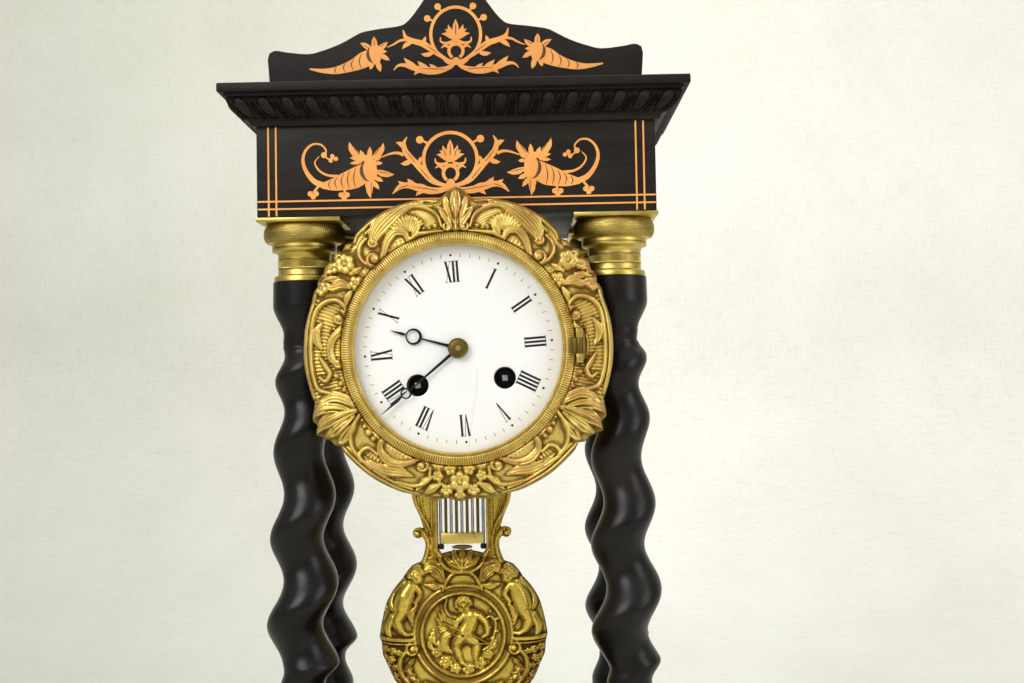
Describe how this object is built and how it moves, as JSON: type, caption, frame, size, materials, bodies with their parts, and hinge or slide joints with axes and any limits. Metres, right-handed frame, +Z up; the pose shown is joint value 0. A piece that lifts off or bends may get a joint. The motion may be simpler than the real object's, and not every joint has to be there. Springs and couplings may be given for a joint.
{
  "type": "portico mantel clock",
  "caption": "Mantel clock: ebonised inlaid case on twisted columns, round movement in a hanging drum with a gilt surround and a gridiron pendulum.",
  "frame": {"origin": "middle of the footprint, on the plane the feet stand on", "axes": "+X to the right seen from the front, +Y to the back, +Z up"},
  "size_m": [0.25, 0.153, 0.4978],
  "materials": {
    "ebonised_wood": "ebonised and polished",
    "boxwood_inlay": "flush, polished",
    "gilt_brass": "stamped and gilt, worn",
    "turned_brass": "turned, lacquered",
    "steel": "satin",
    "blued_steel": "blued",
    "enamel": "white fired enamel",
    "clear_glass": "clear, domed"
  },
  "bodies": {
    "case": {"feet": "ebonised_wood", "base_plinth": "ebonised_wood", "base_moulding": "ebonised_wood", "base_block": "ebonised_wood", "base_top_board": "ebonised_wood", "base_inlay": "boxwood_inlay", "column_front_left": "ebonised_wood", "column_front_right": "ebonised_wood", "column_back_left": "ebonised_wood", "column_back_right": "ebonised_wood", "column_bases": "turned_brass", "capitals": "turned_brass", "tie_rods": "steel", "tie_nuts": "steel", "frieze_box": "ebonised_wood", "frieze_marquetry": "boxwood_inlay", "frieze_stringing": "boxwood_inlay", "cornice_moulding": "ebonised_wood", "top_board": "ebonised_wood", "crest": "ebonised_wood", "crest_marquetry": "boxwood_inlay", "saddle_block": "ebonised_wood", "saddle_screws": "steel", "drum": "turned_brass", "surround": "gilt_brass", "dial": "enamel", "hinge_pins": "turned_brass", "front_plate": "turned_brass", "back_plate": "turned_brass", "plate_pillars": "turned_brass", "movement_lugs": "turned_brass", "bell": "turned_brass", "bell_stand": "turned_brass", "pendulum_cock": "turned_brass"},
    "glazed_bezel": {"glazed_ring": "gilt_brass", "dial_glass": "clear_glass"},
    "rear_door": {"back_door": "turned_brass"},
    "time_barrel": {"time_barrel": "turned_brass"},
    "strike_barrel": {"strike_barrel": "turned_brass"},
    "time_square": {"time_winding_arbor": "steel"},
    "strike_square": {"strike_winding_arbor": "steel"},
    "intermediate": {"intermediate_wheel": "turned_brass"},
    "centre": {"centre_arbor": "turned_brass", "minute_hand": "blued_steel"},
    "third": {"third_wheel": "turned_brass"},
    "escape": {"escape_wheel": "turned_brass"},
    "crutch": {"pallets_crutch": "steel"},
    "pins": {"pin_wheel": "turned_brass"},
    "locking": {"locking_wheel": "turned_brass"},
    "warning": {"warning_wheel": "turned_brass"},
    "fly": {"fly": "steel"},
    "minute_work": {"minute_wheel": "turned_brass"},
    "hour": {"hour_wheel": "turned_brass", "hour_hand": "blued_steel"},
    "hammer": {"hammer": "turned_brass"},
    "pendulum": {"pendulum_rod": "steel", "gridiron": "steel", "pendulum_bob": "gilt_brass"},
    "rating_nut": {"rating_nut": "turned_brass"}
  },
  "joints": [
    {"name": "centre_spin", "type": "hinge", "parent": "case", "child": "centre", "pos_m": [0, -0.03, 0.3075], "axis": [0, 1, 0], "continuous": true},
    {"name": "minute_wheel_spin", "type": "hinge", "parent": "case", "child": "minute_work", "pos_m": [0.001, -0.054, 0.29314], "axis": [0, 1, 0], "continuous": true},
    {"name": "hour_spin", "type": "hinge", "parent": "case", "child": "hour", "pos_m": [0, -0.06, 0.3075], "axis": [0, 1, 0], "continuous": true},
    {"name": "intermediate_spin", "type": "hinge", "parent": "case", "child": "intermediate", "pos_m": [0.01514, -0.03, 0.31326], "axis": [0, 1, 0], "continuous": true},
    {"name": "time_barrel_spin", "type": "hinge", "parent": "case", "child": "time_barrel", "pos_m": [0.0228, -0.03, 0.29255], "axis": [0, 1, 0], "continuous": true},
    {"name": "third_spin", "type": "hinge", "parent": "case", "child": "third", "pos_m": [-0.0096, -0.03, 0.32033], "axis": [0, 1, 0], "continuous": true},
    {"name": "escape_spin", "type": "hinge", "parent": "case", "child": "escape", "pos_m": [-0.00167, -0.03, 0.33144], "axis": [0, 1, 0], "continuous": true},
    {"name": "locking_spin", "type": "hinge", "parent": "case", "child": "locking", "pos_m": [-0.02309, -0.03, 0.32509], "axis": [0, 1, 0], "continuous": true},
    {"name": "pin_wheel_spin", "type": "hinge", "parent": "case", "child": "pins", "pos_m": [-0.02584, -0.03, 0.31095], "axis": [0, 1, 0], "continuous": true},
    {"name": "strike_barrel_spin", "type": "hinge", "parent": "case", "child": "strike_barrel", "pos_m": [-0.0205, -0.03, 0.28953], "axis": [0, 1, 0], "continuous": true},
    {"name": "warning_spin", "type": "hinge", "parent": "case", "child": "warning", "pos_m": [-0.01714, -0.03, 0.33499], "axis": [0, 1, 0], "continuous": true},
    {"name": "fly_spin", "type": "hinge", "parent": "case", "child": "fly", "pos_m": [-0.01274, -0.03, 0.34402], "axis": [0, 1, 0], "continuous": true},
    {"name": "time_winding", "type": "hinge", "parent": "case", "child": "time_square", "pos_m": [0.0228, -0.03, 0.29255], "axis": [0, 1, 0], "continuous": true},
    {"name": "strike_winding", "type": "hinge", "parent": "case", "child": "strike_square", "pos_m": [-0.0205, -0.03, 0.28953], "axis": [0, 1, 0], "continuous": true},
    {"name": "hammer_lift", "type": "hinge", "parent": "case", "child": "hammer", "pos_m": [-0.0348, 0.01, 0.2849], "axis": [0, 1, 0], "range_deg": [-12, 0]},
    {"name": "pendulum_swing", "type": "hinge", "parent": "case", "child": "pendulum", "pos_m": [-0.00258, -0.003, 0.34441], "axis": [0, 1, 0], "range_deg": [-3, 3]},
    {"name": "crutch_rock", "type": "hinge", "parent": "case", "child": "crutch", "pos_m": [-0.00244, -0.03, 0.34241], "axis": [0, 1, 0], "range_deg": [-3, 3]},
    {"name": "rating_nut_turn", "type": "hinge", "parent": "pendulum", "child": "rating_nut", "pos_m": [-0.00258, -0.003, 0.112], "axis": [0, 0, 1], "continuous": true},
    {"name": "glazed_ring_swing", "type": "hinge", "parent": "case", "child": "glazed_bezel", "pos_m": [0.0597, -0.0724, 0.3075], "axis": [0, 0, 1], "range_deg": [0, 105]},
    {"name": "back_door_swing", "type": "hinge", "parent": "case", "child": "rear_door", "pos_m": [0.0576, 0.0353, 0.3075], "axis": [0, 0, -1], "range_deg": [0, 80]}
  ],
  "couplings": [
    {"joint": "minute_wheel_spin", "follows": "centre_spin", "ratio": -0.33333},
    {"joint": "hour_spin", "follows": "centre_spin", "ratio": 0.083333},
    {"joint": "intermediate_spin", "follows": "centre_spin", "ratio": -0.125},
    {"joint": "time_barrel_spin", "follows": "centre_spin", "ratio": 0.017857},
    {"joint": "third_spin", "follows": "centre_spin", "ratio": -10.125},
    {"joint": "escape_spin", "follows": "centre_spin", "ratio": 121.5},
    {"joint": "pin_wheel_spin", "follows": "locking_spin", "ratio": -0.11111},
    {"joint": "strike_barrel_spin", "follows": "locking_spin", "ratio": 0.015873},
    {"joint": "warning_spin", "follows": "locking_spin", "ratio": -10},
    {"joint": "fly_spin", "follows": "locking_spin", "ratio": 85.714},
    {"joint": "crutch_rock", "follows": "pendulum_swing", "ratio": 1}
  ]
}
